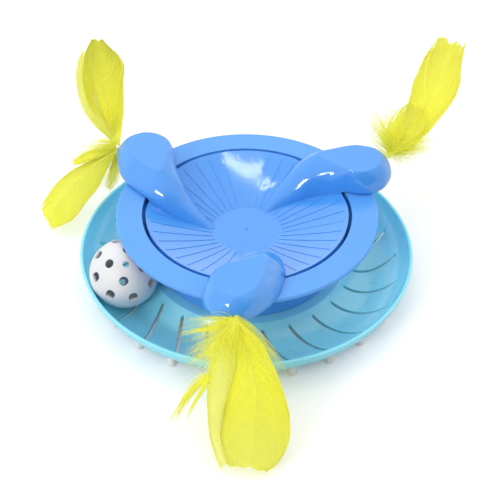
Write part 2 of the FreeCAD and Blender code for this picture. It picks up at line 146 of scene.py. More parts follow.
def addFloor(values):
    half = values["floorSize"] / 2
    mesh = bpy.data.meshes.new("studioFloor")
    mesh.from_pydata([(-half, -half, 0), (half, -half, 0), (half, half, 0), (-half, half, 0)], [], [(0, 1, 2, 3)])
    floor = addObject("studioFloor", mesh)
    paper = bpy.data.materials.new("whitePaper")
    paper.use_nodes = True
    tree = paper.node_tree
    tree.nodes.clear()
    seen = addNode(tree, "LightPath").outputs["Is Camera Ray"]  # the camera sees a whiter sheet
    tone = colorMix(tree, seen, opaque(values["floorColor"]), opaque(values["floorSeen"]))
    matt = addNode(tree, "BsdfDiffuse", {"Color": tone})
    lift = addNode(tree, "Math", {0: seen, 1: values["floorLift"]}, operation="MULTIPLY")
    glow = addNode(tree, "Emission", {"Strength": lift.outputs[0]})
    total = addNode(tree, "AddShader", {0: matt.outputs[0], 1: glow.outputs[0]})
    addNode(tree, "OutputMaterial", {"Surface": total.outputs[0]})
    mesh.materials.append(paper)


bpy.context.scene.view_settings.view_transform = "Standard"
setWorld(studio)
addFloor(studio)
for panelName in ("topPanel", "leftPanel"):
    addPanel(panelName, studio[panelName])
print("studio set")


# Materials

noiseSpan = (0.3, 0.7)  # where nearly all of a noise's values lie


def linear(red, green, blue):
    return tuple(((c / 255 + 0.055) / 1.055) ** 2.4 if c > 10 else c / 255 / 12.92 for c in (red, green, blue))


def newMaterial(name):
    material = bpy.data.materials.new(name)
    material.use_nodes = True
    shader = material.node_tree.nodes["Principled BSDF"]
    return material, material.node_tree, shader


def noise(tree, scale, detail=3.0):
    place = addNode(tree, "TexCoord").outputs["Object"]
    return addNode(tree, "TexNoise", {"Vector": place, "Scale": scale, "Detail": detail}).outputs["Fac"]


def clouded(tree, cloud, dark, light):
    # A colour that drifts softly from the darker to the lighter tone
    return colorMix(tree, mapRange(tree, cloud, noiseSpan, (0.0, 1.0)), opaque(dark), opaque(light))


usualPlastic = {"cloudScale": 18.0, "grainScale": 1100.0, "grainDetail": 4.0, "bump": 0.004, "bumpDepth": 0.0003,
                "ior": 1.5, "depth": 0.0, "depthColor": (1.0, 1.0, 1.0), "depthScale": 0.002, "coat": 0.0,
                "coatRoughness": 0.05, "clear": 0.0}
finishes = {
    "tealPlastic": {"dark": linear(142, 220, 246), "light": linear(148, 224, 249), "cloudScale": 24.0,
                    "grainScale": 900.0, "smooth": 0.20, "rough": 0.23, "bump": 0.005, "depth": 0.7,
                    "depthColor": (0.3, 0.8, 1.0), "depthScale": 0.005, "coat": 0.2},
    "bluePlastic": {"dark": linear(84, 158, 237), "light": linear(90, 163, 241), "smooth": 0.20, "rough": 0.22,
                    "depth": 0.10, "depthColor": (0.15, 0.45, 1.0), "coat": 0.1},
    "glossyBluePlastic": {"dark": linear(70, 151, 234), "light": linear(76, 156, 239), "smooth": 0.08,
                          "rough": 0.12, "depth": 0.10, "depthColor": (0.15, 0.45, 1.0), "coat": 0.5},
    "clearRubber": {"dark": linear(236, 240, 244), "light": linear(250, 252, 254), "cloudScale": 60.0,
                    "grainScale": 700.0, "smooth": 0.10, "rough": 0.22, "bump": 0.02, "clear": 0.12, "depth": 0.5,
                    "coat": 0.4},
    "whitePlastic": {"dark": linear(218, 219, 221), "light": linear(227, 228, 231), "cloudScale": 40.0,
                     "grainScale": 800.0, "smooth": 0.30, "rough": 0.45, "bump": 0.05, "depth": 0.15},
    "softPlug": {"dark": linear(226, 224, 190), "light": linear(240, 238, 210), "cloudScale": 90.0,
                 "grainScale": 600.0, "smooth": 0.5, "rough": 0.7, "bump": 0.2},
}
steelFinish = {"dark": (0.46, 0.46, 0.47), "light": (0.62, 0.62, 0.63), "grainScale": 500.0, "grainDetail": 5.0,
               "smooth": 0.25, "rough": 0.42}


def mouldedPlastic(name, chosen):
    finish = {**usualPlastic, **chosen}
    material, tree, shader = newMaterial(name)
    grain = noise(tree, finish["grainScale"], finish["grainDetail"])
    bump = addNode(tree, "Bump", {"Strength": finish["bump"], "Distance": finish["bumpDepth"], "Height": grain})
    setInputs(tree, shader, {
        "Base Color": clouded(tree, noise(tree, finish["cloudScale"]), finish["dark"], finish["light"]),
        "Roughness": mapRange(tree, grain, noiseSpan, (finish["smooth"], finish["rough"])),
        "Normal": bump.outputs["Normal"], "IOR": finish["ior"], "Subsurface Weight": finish["depth"],
        "Subsurface Radius": finish["depthColor"], "Subsurface Scale": finish["depthScale"],
        "Coat Weight": finish["coat"], "Coat Roughness": finish["coatRoughness"],
        "Transmission Weight": finish["clear"]})
    return material


def zincSteel(name, finish):
    material, tree, shader = newMaterial(name)
    streaks = noise(tree, finish["grainScale"], finish["grainDetail"])
    setInputs(tree, shader, {
        "Base Color": clouded(tree, streaks, finish["dark"], finish["light"]),
        "Roughness": mapRange(tree, streaks, noiseSpan, (finish["smooth"], finish["rough"])), "Metallic": 1.0})
    return material


nodeFinishes = {
    "tray": "tealPlastic", "tray_feet": "clearRubber", "housing": "bluePlastic",
    "rotor": "glossyBluePlastic", "ball_near_half": "whitePlastic", "ball_far_half": "whitePlastic",
    "feather_plug_front": "softPlug", "feather_plug_right": "softPlug", "feather_plug_left": "softPlug",
    "housing_screws": "zincSteel", "pivot_screw": "zincSteel", "pivot_washer": "zincSteel",
}


def dressNodes():
    made = {name: mouldedPlastic(name, finish) for name, finish in finishes.items()}
    made["zincSteel"] = zincSteel("zincSteel", steelFinish)
    for node, finish in nodeFinishes.items():
        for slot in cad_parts[node].material_slots:
            slot.material = made[finish]


dressNodes()
print("plastic, rubber and steel dressed")


# Rotor: the frame's rotor and plugs, with the three arms drawn to the photograph. All in millimetres

armSizes = {"ringTop": 48.3, "height": 15.0, "rootDepth": 14.6, "gap": 0.8, "flare": (0.0, 0.3, 0.65, 0.95),
            "dishRadius": 61.2, "dishDepth": 14.0, "dishFlat": 20.7}
frameArm = {
    "angles": (-92.0, 28.0, 148.0), "waist": 3.5,
    "shoulder": ((0.06, 0.3), (0.3, 0.72), (0.72, 0.93), (0.92, 1.0), (1.0, 1.0)),
    "root": ((91, 0), (88.5, -10.5), (81, -17), (72, -17.5), (61.5, -11.5), (44, 1.5), (28, 6), (15.5, 9.5),
             (26, 18.5), (45, 22.5), (68, 20.5), (82, 14)),
    "widest": ((96.3, 0), (93, -13), (83.5, -21.3), (72, -22), (61.5, -14), (51.5, -3), (42, 7),
               (38.5, 14.5), (45, 21), (57, 25), (71, 24.3), (85, 17.5)),
    "top": ((89.5, -1), (87, -10.5), (80.5, -15.8), (72.5, -15.8), (65.5, -11.5), (60.5, -4), (57, 4),
            (54.5, 11), (56, 16.3), (63, 18), (72, 16.8), (82, 11)),
}
photoArm = {
    "angles": (-92.3, 29.4, 145.9), "waist": 2.0,
    "shoulder": ((0.16, 0.3), (0.6, 0.72), (0.88, 0.94), (0.95, 1.0), (1.0, 1.0)),
    "root": ((92, 0), (89, -11), (81, -17), (72, -17), (62, -10.5), (44, 2.2), (28, 5.6), (15.5, 10.2),
             (26, 18.7), (45, 21.3), (67.7, 20.4), (82.2, 14)),
    "widest": ((99.6, 0.5), (95.3, -13.6), (84.4, -21.3), (72, -21), (61.8, -12), (51.7, -2.5), (42, 5.2),
               (38.4, 15.5), (45, 23), (56, 26), (69.5, 23.2), (84.8, 16.8)),
    "top": ((91, -0.4), (87.6, -11.1), (81, -15.1), (72.7, -15.2), (66, -11), (62.3, -3), (58.6, 4.6),
            (56, 11), (57.5, 14), (63.3, 13.4), (70.7, 12.2), (81.9, 9.6)),
}
redrawing = {
    "skinRows": 13, "ease": 1e-6, "batch": 4000,
    "stillHeights": (12.0, 22.0, 34.0),  # on the spindle
    "stillRadii": (12.0, 20.0, 30.0, 40.0, 50.0, 60.5), "stillTurns": 48, "clearOfArm": 8.0,  # on the dish
    "spindle": 12.0, "blend": 4.0, "margin": 0.05, "underside": 0.4, "overRing": 0.3, "belowRing": 0.1,
}


def armLevels(arm):
    root, widest, top = (np.array(arm[key], float) for key in ("root", "widest", "top"))
    low = armSizes["ringTop"] - armSizes["rootDepth"]
    waist = armSizes["ringTop"] + arm["waist"]
    high = armSizes["ringTop"] + armSizes["height"]
    outlines = [root + (widest - root) * share for share in armSizes["flare"]]
    heights = [low + (waist - low) * share for share in armSizes["flare"]]
    for inward, rise in arm["shoulder"]:
        outlines.append(widest + (top - widest) * inward)
        heights.append(waist + (high - waist) * rise)
    return np.array([np.column_stack([outline, np.full(len(outline), height)])
                     for outline, height in zip(outlines, heights)])


def clampedBasis(count, places):
    # Shares of the control rows along a cubic curve that starts and ends on its first and last row
    spans = count - 3
    knots = np.concatenate([[0.0] * 3, np.arange(spans + 1), [float(spans)] * 3])
    t = np.clip(np.asarray(places) * spans, 0, spans - 1e-9)
    basis = np.array([(knots[i] <= t) & (t < knots[i + 1]) for i in range(len(knots) - 1)], float)
    for degree in (1, 2, 3):
        rows = []
        for i in range(len(basis) - 1):
            before = knots[i + degree] - knots[i]
            after = knots[i + degree + 1] - knots[i + 1]
            row = np.zeros(len(t))
            if before > 0:
                row += (t - knots[i]) / before * basis[i]
            if after > 0:
                row += (knots[i + degree + 1] - t) / after * basis[i + 1]
            rows.append(row)
        basis = np.array(rows)
    return basis.T


def armSkin(arm):
    # Points all over one arm and in the middle of its cap, set round the spin axis at each arm's angle
    levels = armLevels(arm)
    rows = clampedBasis(len(levels), np.linspace(0, 1, redrawing["skinRows"]))
    skin = np.einsum("ri,ijk->rjk", rows, levels).reshape(-1, 3)
    skin = np.vstack([skin, np.mean(levels[-1], axis=0)])
    turned = []
    for angle in arm["angles"]:
        c, s = math.cos(math.radians(angle)), math.sin(math.radians(angle))
        turned.append(skin @ np.array([[c, s, 0], [-s, c, 0], [0, 0, 1]]))
    return np.concatenate(turned)


def underArm(spot):
    for angle in frameArm["angles"]:
        turn = math.radians(-angle)
        x = spot[0] * math.cos(turn) - spot[1] * math.sin(turn)
        y = spot[0] * math.sin(turn) + spot[1] * math.cos(turn)
        inside = False
        outline = frameArm["widest"]
        for (ax, ay), (bx, by) in zip(outline, outline[1:] + outline[:1]):
            if (ay > y) != (by > y) and x < (bx - ax) * (y - ay) / (by - ay) + ax:
                inside = not inside
        if inside:
            return True
    return False


def dishHeight(radius):
    share = np.clip((radius - armSizes["dishFlat"]) / (armSizes["dishRadius"] - armSizes["dishFlat"]), 0, 1)
    return armSizes["ringTop"] - armSizes["dishDepth"] * (1 - share)


def armShift():
    # The arms' points pull what is round them to their new places, and the dish and spindle hold still
    old, new = armSkin(frameArm), armSkin(photoArm)
    still = [(0, 0, height) for height in redrawing["stillHeights"]]
    for radius in redrawing["stillRadii"]:
        for k in range(redrawing["stillTurns"]):
            turn = 2 * math.pi * k / redrawing["stillTurns"]
            spot = np.array([radius * math.cos(turn), radius * math.sin(turn), dishHeight(radius)])
            nearest = np.min(np.linalg.norm(old[:, :2] - spot[:2], axis=1))
            if nearest > redrawing["clearOfArm"] and not underArm(spot):
                still.append(tuple(spot))
    centers = np.vstack([old, np.array(still)])
    moves = np.vstack([new - old, np.zeros((len(still), 3))])
    reach = np.linalg.norm(centers[:, None] - centers[None], axis=2)
    weights = np.linalg.solve(reach + np.eye(len(centers)) * redrawing["ease"], moves)
    return centers, weights


def movedPoints(points, shift):
    centers, weights = shift
    batch, margin, edge = redrawing["batch"], redrawing["margin"], armSizes["dishRadius"]
    moved = points.copy()
    for first in range(0, len(points), batch):
        part = points[first:first + batch]
        moved[first:first + batch] += np.linalg.norm(part[:, None] - centers[None], axis=2) @ weights
    radius = np.hypot(points[:, 0], points[:, 1])
    share = np.clip((radius - redrawing["spindle"]) / redrawing["blend"], 0, 1)
    moved = points + (moved - points) * share[:, None]  # the spindle stays
    armFloor = armSizes["ringTop"] + armSizes["gap"]
    outer = radius > edge + margin  # over the ring the undersides stay level and the rest stays above them
    moved[outer, 2] = np.where(points[outer, 2] < armFloor + redrawing["underside"], points[outer, 2],
                               np.maximum(moved[outer, 2], armFloor + redrawing["overRing"]))
    reached = np.hypot(moved[:, 0], moved[:, 1])
    lowest = np.minimum(points[:, 2], moved[:, 2])
    inRing = (lowest < armFloor - redrawing["belowRing"]) & (reached > edge)
    moved[inRing, :2] *= (edge / reached[inRing])[:, None]  # nothing low leaves the dish
    cap = armSizes["ringTop"] + armSizes["height"]
    moved[points[:, 2] > cap - margin, 2] = cap  # the caps stay flat
    return moved


def redraw(node, name, shift):
    # A copy of the frame's piece with its points moved as the arms moved
    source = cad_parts[node]
    flat = np.empty(len(source.data.vertices) * 3)
    source.data.vertices.foreach_get("co", flat)
    points = flat.reshape(-1, 3) / mm
    moved = movedPoints(points, shift)
    mesh = bpy.data.meshes.new(name)
    mesh.from_pydata([tuple(point) for point in moved * mm], [], [tuple(f.vertices) for f in source.data.polygons])
    mesh.polygons.foreach_set("use_smooth", [f.use_smooth for f in source.data.polygons])
    for kept in source.material_slots:
        mesh.materials.append(kept.material)
    mesh.update()
    piece = addObject(name, mesh)
    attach(piece, "rotor")
    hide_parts(node)
    farthest = np.max(np.linalg.norm(moved - points, axis=1))
    print("redrawn:", name, len(points), "points, moved up to", round(float(farthest), 1), "mm")


armMoves = armShift()
redraw("rotor", "drawnRotor", armMoves)
for plugSide in ("front", "right", "left"):
    redraw("feather_plug_" + plugSide, plugSide + "Plug", armMoves)


# Feather materials

# Each feather's root-to-tip tones are partly its yellow dye and partly painted shade and painted light, set feather
# by feather for where each one lies
featherTonesWithPaintedLight = {
    "front": {"near": linear(255, 255, 66), "middle": linear(255, 252, 58), "far": linear(246, 246, 110)},
    "leftUpper": {"near": linear(255, 255, 64), "middle": linear(246, 243, 56), "far": linear(226, 226, 52)},
    "leftLower": {"near": linear(238, 240, 62), "middle": linear(252, 250, 96), "far": linear(255, 255, 64)},
    "right": {"near": linear(255, 255, 64), "middle": linear(255, 253, 80), "far": linear(246, 244, 84)},
    # pale: the fine strands' own paler yellow, raised further as painted light to lift the shade among the fine hairs
    "pale": {"near": linear(246, 248, 120), "middle": linear(252, 252, 150), "far": linear(255, 255, 180)},
}
featherFinish = {
    "streakLight": linear(255, 255, 150), "streakDark": linear(208, 206, 30), "streaks": 150.0, "paler": 0.55,
    "darker": 0.12, "coarser": 0.37, "streakLength": 1.4, "streakStart": 0.1, "streakDetail": 3.0,
    "outward": 0.45, "stops": {"near": 0.15, "far": 0.95, "middle": 0.55}, "through": 0.5,
    "vaneClear": 0.72, "downClear": 0.05, "paleClear": 0.0, "vaneFade": 0.36, "downFade": 0.58,
    "roughness": 0.6, "sheen": 0.6, "sheenTone": linear(255, 255, 210),
}
shaftFinish = {"color": linear(244, 242, 96), "shade": 0.85, "cloudScale": 300.0, "roughness": 0.35}


def streaked(tree, uv, color, scale, tone, share):
    # Fine lines along the barbs, laid over the colour so far
    stretch = addNode(tree, "Mapping", {"Vector": uv, "Scale": (featherFinish["streakLength"], scale, 1.0),
                                        "Location": (scale * featherFinish["streakStart"], 0.0, scale)})
    lines = addNode(tree, "TexNoise", {"Vector": stretch.outputs["Vector"], "Scale": 1.0,
                                       "Detail": featherFinish["streakDetail"]})
    return colorMix(tree, mapRange(tree, lines.outputs["Fac"], noiseSpan, (0.0, share)), color, opaque(tone))


def featherMaterial(name, tone, clearFrom, fade):
    # Colours run from root to tip and carry painted shade and painted light, light shines through, and the edges thin
    # out
    material, tree, shader = newMaterial(name)
    uv = addNode(tree, "UVMap").outputs["UV"]
    split = addNode(tree, "SeparateXYZ", {0: uv}).outputs
    along = addNode(tree, "Math", {0: split["X"], 1: featherFinish["outward"], 2: split["Y"]},
                    operation="MULTIPLY_ADD")  # how far up the feather a point is
    ramp = addNode(tree, "ValToRGB", {"Fac": along.outputs[0]})
    near, far = ramp.color_ramp.elements
    near.position, far.position = featherFinish["stops"]["near"], featherFinish["stops"]["far"]
    near.color, far.color = opaque(tone["near"]), opaque(tone["far"])
    ramp.color_ramp.elements.new(featherFinish["stops"]["middle"]).color = opaque(tone["middle"])
    fine = featherFinish["streaks"]
    color = streaked(tree, uv, ramp.outputs["Color"], fine, featherFinish["streakLight"], featherFinish["paler"])
    color = streaked(tree, uv, color, fine * featherFinish["coarser"], featherFinish["streakDark"],
                     featherFinish["darker"])
    setInputs(tree, shader, {
        "Base Color": color, "Roughness": featherFinish["roughness"], "Sheen Weight": featherFinish["sheen"],
        "Sheen Tint": opaque(featherFinish["sheenTone"])})
    leaf = addNode(tree, "BsdfTranslucent", {"Color": color})
    both = addNode(tree, "MixShader", {"Fac": featherFinish["through"], 1: shader.outputs[0], 2: leaf.outputs[0]})
    clear = addNode(tree, "BsdfTransparent")
    edge = mapRange(tree, split["X"], (clearFrom, 1.0), (0.0, fade))
    final = addNode(tree, "MixShader", {"Fac": edge, 1: both.outputs[0], 2: clear.outputs[0]})
    setInputs(tree, tree.nodes["Material Output"], {"Surface": final.outputs[0]})
    return material


def shaftMaterial(name, finish):
    material, tree, shader = newMaterial(name)
    shaded = tuple(finish["shade"] * c for c in finish["color"])
    color = clouded(tree, noise(tree, finish["cloudScale"]), shaded, finish["color"])
    setInputs(tree, shader, {"Base Color": color, "Roughness": finish["roughness"]})
    return material


featherSlots = {"vane": 0, "down": 1, "pale": 2, "shaft": 3}


def featherMaterials(tone):
    values = featherFinish
    return [featherMaterial(tone + "Vane", featherTonesWithPaintedLight[tone], values["vaneClear"], values["vaneFade"]),
            featherMaterial(tone + "Down", featherTonesWithPaintedLight[tone], values["downClear"], values["downFade"]),
            # the pale down carries painted light over its own paler yellow
            featherMaterial(tone + "PaleLitDown", featherTonesWithPaintedLight["pale"], values["paleClear"], values["downFade"]),
            shaftMaterial(tone + "Shaft", shaftFinish)]


# Feather shapes, in millimetres

def unit(vectors):
    return vectors / np.maximum(np.linalg.norm(vectors, axis=-1, keepdims=True), 1e-9)


def scattered(dice, spread=1):
    return np.array([dice.gauss(0, spread) for _ in range(3)])


def makeSpine(path, facing, count=120, rounding=24):
    # A smooth curve through the path's points, with the directions along, across and out of the feather
    points = np.array(path, float)
    padded = np.vstack([2 * points[0] - points[1], points, 2 * points[-1] - points[-2]])
    dense = []
    for a, b, c, d in zip(padded, padded[1:], padded[2:], padded[3:]):
        for u in np.linspace(0, 1, rounding, endpoint=False):
            dense.append(0.5 * (2 * b + (c - a) * u + (2 * a - 5 * b + 4 * c - d) * u ** 2
                                + (3 * b - a - 3 * c + d) * u ** 3))
    dense = np.array(dense + [points[-1]])
    walked = np.concatenate([[0], np.cumsum(np.linalg.norm(np.diff(dense, axis=0), axis=1))])
    even = np.linspace(0, walked[-1], count)
    center = np.stack([np.interp(even, walked, dense[:, i]) for i in range(3)], 1)
    forward = unit(np.gradient(center, axis=0))
    across = unit(np.cross(forward, np.array(facing, float)))
    up = np.cross(across, forward)
    return {"center": center, "forward": forward, "across": across, "up": up, "length": walked[-1],
            "shares": np.linspace(0, 1, count)}


def onSpine(spine, share, key):
    clipped = np.clip(share, 0, 1)
    values = np.stack([np.interp(clipped, spine["shares"], spine[key][:, i]) for i in range(3)], -1)
    if key == "center":  # past the tip it runs straight on
        beyond = (np.asarray(share) - clipped)[..., None] * spine["length"]
        values = values + beyond * onSpine(spine, clipped, "forward")
    return values


class MeshParts:
    rowWidth = 0.002  # of one barb in the texture
    hairStart = 0.2  # where a hair begins in it
    askew = (0.31, 0.23, 0.92)  # no shaft runs along it

    def __init__(self):
        self.points = []
        self.faces = []
        self.slots = []
        self.uvs = []

    def line(self, points):
        start = len(self.points)
        self.points += [tuple(point * mm) for point in points]
        return start

    def face(self, corners, slot, uvs):
        self.faces.append(corners)
        self.slots.append(slot)
        self.uvs += uvs

    def web(self, first, second, steps, slot, rows, shares):
        # Faces between two neighbouring barbs, from the shaft as far as they hang together
        for i in range(steps - 1):
            self.face((first + i, first + i + 1, second + i + 1, second + i), slot,
                      [(shares[0][i], rows[0]), (shares[0][i + 1], rows[0]),
                       (shares[1][i + 1], rows[1]), (shares[1][i], rows[1])])

    def ribbon(self, line, sideways, widths, slot, row):
        start = len(self.points)
        for point, side, width in zip(line, sideways, widths):
            self.points.append(tuple((point - side * width) * mm))
            self.points.append(tuple((point + side * width) * mm))
        last = len(line) - 1
        for i in range(last):
            k = start + 2 * i
            near, far = i / last, (i + 1) / last
            self.face((k, k + 1, k + 3, k + 2), slot,
                      [(near, row), (near, row + self.rowWidth), (far, row + self.rowWidth), (far, row)])

    def hair(self, root, tip, sideways, width, slot, row):
        start = len(self.points)
        self.points += [tuple((root - sideways * width) * mm), tuple((root + sideways * width) * mm),
                        tuple(tip * mm)]
        self.face((start, start + 1, start + 2), slot,
                  [(self.hairStart, row), (self.hairStart, row + self.rowWidth), (1.0, row)])

    def tube(self, line, radii, slot, sides=8):
        start = len(self.points)
        forward = unit(np.gradient(line, axis=0))
        first = unit(np.cross(forward, np.array(self.askew)))
        second = np.cross(forward, first)
        for center, a, b, radius in zip(line, first, second, radii):
            for k in range(sides):
                turn = 2 * math.pi * k / sides
                self.points.append(tuple((center + radius * (a * math.cos(turn) + b * math.sin(turn))) * mm))
        rows = len(line)
        for i in range(rows - 1):
            for k in range(sides):
                near = start + i * sides
                after = (k + 1) % sides
                self.face((near + k, near + after, near + sides + after, near + sides + k), slot,
                          [(0.0, i / rows)] * 4)
        for ring in (range(start, start + sides), range(len(self.points) - 1, len(self.points) - sides - 1, -1)):
            self.face(tuple(ring), slot, [(0.0, 0.0)] * sides)

    def toObject(self, name, materials):
        mesh = bpy.data.meshes.new(name)
        mesh.from_pydata(self.points, [], self.faces)
        for material in materials:
            mesh.materials.append(material)
        mesh.polygons.foreach_set("material_index", self.slots)
        layer = mesh.uv_layers.new(name="barbUv")
        layer.data.foreach_set("uv", [value for pair in self.uvs for value in pair])
        mesh.polygons.foreach_set("use_smooth", [True] * len(self.faces))
        mesh.update()
        return addObject(name, mesh)


usualPlume = {
    "slot": "vane", "sweep": 0.6, "spread": 0.5, "barbWidth": 0.14, "steps": 12, "lastBarb": 0.985,
    "shares": (0.0, 0.07, 0.15, 0.25, 0.35, 0.45, 0.55, 0.65, 0.75, 0.84, 0.91, 0.96, 1.0),
    "shortest": 0.03, "clumpShift": 0.014, "clumpGrow": 0.035, "clumpLift": 0.5, "sway": 0.25, "above": 0.14,
    "roll": 0.2, "taper": 0.8, "thickRange": (0.7, 1.2), "rowSpread": 0.006, "hairOut": 0.25,
    "hairRange": (0.6, 2.4), "hairShare": 0.7,
}


def addVane(parts, spine, plume, dice):
    # Barbs leave the shaft, bend along the outline and hang together; clumps part near the edge
    steps, ragged = plume["steps"], plume["ragged"]
    slot = featherSlots[plume["slot"]]
    places = np.linspace(0, 1, steps)
    for side, key in ((-1, "left"), (1, "right")):
        before, clumpEnd = None, -1
        for i in range(plume["barbs"]):
            root = plume["lastBarb"] * i / (plume["barbs"] - 1)
            parted = i > clumpEnd
            if parted:
                clumpEnd = i + dice.randint(*plume["clump"])
                shift = dice.gauss(0, plume["clumpShift"]) * ragged
                grow = 1 + dice.gauss(0, plume["clumpGrow"]) * ragged
                lift = dice.gauss(0, plume["clumpLift"]) * ragged
            reach = min(1.0, max((1.0 + shift - root) / plume["sweep"], plume["shortest"]))
            x = places * reach
            along = root + plume["sweep"] * x
            width = np.interp(along, plume["shares"], plume[key])
            out = side * grow * width * np.sin(x * math.pi / 2) ** plume["spread"]
            raised = plume["cup"] * np.abs(out) + lift * x ** 2
            across = onSpine(spine, along, "across")
            up = onSpine(spine, along, "up")
            line = onSpine(spine, along, "center") + across * out[:, None] + up * raised[:, None]
            start = parts.line(line)
            if before is not None:
                joined = max(2, round(steps * plume["joined"])) if parted else steps
                parts.web(before[0], start, joined, slot, (before[1], root), (before[2], x))
            before = (start, root, x)
            sway = dice.gauss(0, plume["sway"])
            fine = line + across * (sway * places)[:, None] + up * plume["above"]
            ahead = unit(np.gradient(fine, axis=0))
            sideways = unit(np.cross(ahead, up + across * dice.gauss(0, plume["roll"])))
            thick = plume["barbWidth"] * (1 - plume["taper"] * places ** 2) * dice.uniform(*plume["thickRange"])
            parts.ribbon(fine, sideways, thick, slot, root + dice.gauss(0, plume["rowSpread"]))
            if dice.random() < plume["loose"]:
                away = ahead[-1] + across[-1] * side * plume["hairOut"]
                tip = line[-1] + away * dice.uniform(*plume["hairRange"])
                parts.hair(line[-2], tip, sideways[-1], plume["barbWidth"] * plume["hairShare"], slot, root)


def addHairs(parts, values, line, sideways, ahead, up, slot, row, dice):
    # Loose side hairs along one soft barb
    last = len(line) - 1
    for k in range(values["hairs"]):
        place = dice.uniform(*values["hairPlaces"])
        j = min(int(place * last), last - 1)
        base = line[j] + (line[j + 1] - line[j]) * (place * last - j)
        away = unit(sideways[j] * dice.choice((-1, 1)) + ahead[j] * dice.uniform(*values["hairLean"])
                    + up * dice.gauss(0, values["hairRise"]))
        size = values["hairLength"] * dice.uniform(*values["hairRange"]) * (1 - values["hairTaper"] * place)
        parts.hair(base, base + away * size, ahead[j], values["hairWidth"], slot, row + k * values["rowStep"])


usualDown = {
    "plume": 0, "slot": "down", "from": 0.0, "rise": 0.0, "droop": 0.0, "steps": 9, "crowding": 1.2,
    "leanSpread": 0.35, "riseSpread": 0.3, "lengthRange": (0.4, 1.0), "curl": 0.24, "wave": 0.04, "waves": 7,
    "phaseRange": (0, 6.28), "roll": 0.6, "taperFrom": 1.15, "rowRange": 0.5, "hairs": 10, "hairWidth": 0.045,
    "hairPlaces": (0.08, 0.98), "hairLean": (0.5, 1.4), "hairRise": 0.5, "hairRange": (0.5, 1.0),
    "hairTaper": 0.5, "rowStep": 0.003,
}


def addDown(parts, spine, down, dice):
    # Fluffy lower barbs, each a fine curl with loose side hairs
    u = np.linspace(0, 1, down["steps"])
    slot = featherSlots[down["slot"]]
    for _ in range(down["count"]):
        root = down["from"] + (down["to"] - down["from"]) * dice.random() ** down["crowding"]
        side = -1 if dice.random() < down["leftShare"] else 1
        center, across, up, forward = (onSpine(spine, root, key) for key in ("center", "across", "up", "forward"))
        lean = dice.gauss(down["lean"], down["leanSpread"])
        rise = dice.gauss(down["rise"], down["riseSpread"])
        heading = unit(across * side + forward * lean + up * rise)
        length = down["length"] * dice.uniform(*down["lengthRange"])
        curl = unit(scattered(dice) + forward * down["lean"])
        wave = unit(np.cross(heading, curl))
        phase = dice.uniform(*down["phaseRange"])
        swing = down["wave"] * length * np.sin(u * down["waves"] + phase) * u
        line = (center + heading * (length * u)[:, None] + curl * (down["curl"] * length * u ** 2)[:, None]
                + wave * swing[:, None])
        line[:, 2] = line[:, 2] - down["droop"] * length * u ** 2
        ahead = unit(np.gradient(line, axis=0))
        sideways = unit(np.cross(ahead, up + down["roll"] * wave))
        row = dice.random() * down["rowRange"]
        parts.ribbon(line, sideways, down["thick"] * (down["taperFrom"] - u), slot, row)
        addHairs(parts, down, line, sideways, ahead, up, slot, row, dice)


usualLock = {"slot": "vane", "steps": 9, "reach": (-0.3, 0.02), "taperFrom": 1.05, "taper": 1.5, "rowRange": 0.5}


def addLock(parts, lock, dice):
    # A single lock of barbs that stands off, from a root to a tip with a bend
    u = np.linspace(0, 1, lock["steps"])
    start, end, bend, facing = (np.array(lock[key], float) for key in ("root", "tip", "bend", "facing"))
    for _ in range(lock["count"]):
        off = scattered(dice)
        tip = end + off * lock["spread"] + (end - start) * dice.uniform(*lock["reach"])
        base = start + scattered(dice) * lock["rootSpread"]
        line = base + (tip - base) * u[:, None] + bend * (4 * u * (1 - u))[:, None]
        ahead = unit(np.gradient(line, axis=0))
        sideways = unit(np.cross(ahead, facing))
        widths = lock["thick"] * (lock["taperFrom"] - u ** lock["taper"])
        parts.ribbon(line, sideways, widths, featherSlots[lock["slot"]], dice.random() * lock["rowRange"])


usualFan = {
    "slot": "down", "rootSpread": 1.2, "tipSpread": 1.2, "bend": 1.2, "lift": 1.0, "reach": (0.5, 1.0), "steps": 8,
    "taperFrom": 1.08, "rowRange": 0.5, "hairs": 9, "hairLength": 3.0, "hairWidth": 0.045,
    "hairPlaces": (0.2, 0.98), "hairLean": (0.9, 2.0), "hairRise": 0.4, "hairRange": (0.5, 1.0),
    "hairTaper": 0.0, "rowStep": 0.003,
}


def addFan(parts, fan, dice):
    # Soft barbs that spread from one place at the shaft to a row of tips
    u = np.linspace(0, 1, fan["steps"])
    bow = (4 * u * (1 - u))[:, None]
    slot = featherSlots[fan["slot"]]
    tips = np.array(fan["tips"], float)
    facing = np.array(fan["facing"], float)
    for _ in range(fan["count"]):
        place = dice.uniform(0, len(tips) - 1)
        end = np.array([np.interp(place, range(len(tips)), tips[:, k]) for k in range(3)])
        base = np.array(fan["root"]) + scattered(dice, fan["rootSpread"])
        tip = base + (end - base) * dice.uniform(*fan["reach"])
        tip = tip + scattered(dice, fan["tipSpread"])
        side = unit(np.cross(tip - base, facing))
        line = base + (tip - base) * u[:, None] + side * dice.gauss(0, fan["bend"]) * bow
        line = line + facing * abs(dice.gauss(0, fan["lift"])) * bow
        ahead = unit(np.gradient(line, axis=0))
        sideways = unit(np.cross(ahead, facing))
        row = dice.random() * fan["rowRange"]
        parts.ribbon(line, sideways, fan["thick"] * (fan["taperFrom"] - u), slot, row)
        addHairs(parts, fan, line, sideways, ahead, facing, slot, row, dice)


shaft = {"radius": 0.6, "rings": 36, "end": 0.97, "taper": 0.86, "fullness": 0.6}


def addShaft(parts, seat, spine):
    places = np.linspace(0.0, shaft["end"], shaft["rings"])
    line = np.vstack([np.array(seat, float)[None, :], onSpine(spine, places, "center")])
    thinning = shaft["taper"] * np.linspace(0, 1, shaft["rings"]) ** shaft["fullness"]
    radii = np.concatenate([[shaft["radius"]], shaft["radius"] * (1 - thinning)])
    parts.tube(line, radii, featherSlots["shaft"])


socket = {"angles": {"front": -92.3, "right": 29.4, "left": 145.9}, "seat": 89.9, "mouth": 98.6, "side": -1.0,
          "upper": 54.4, "lower": 52.2}


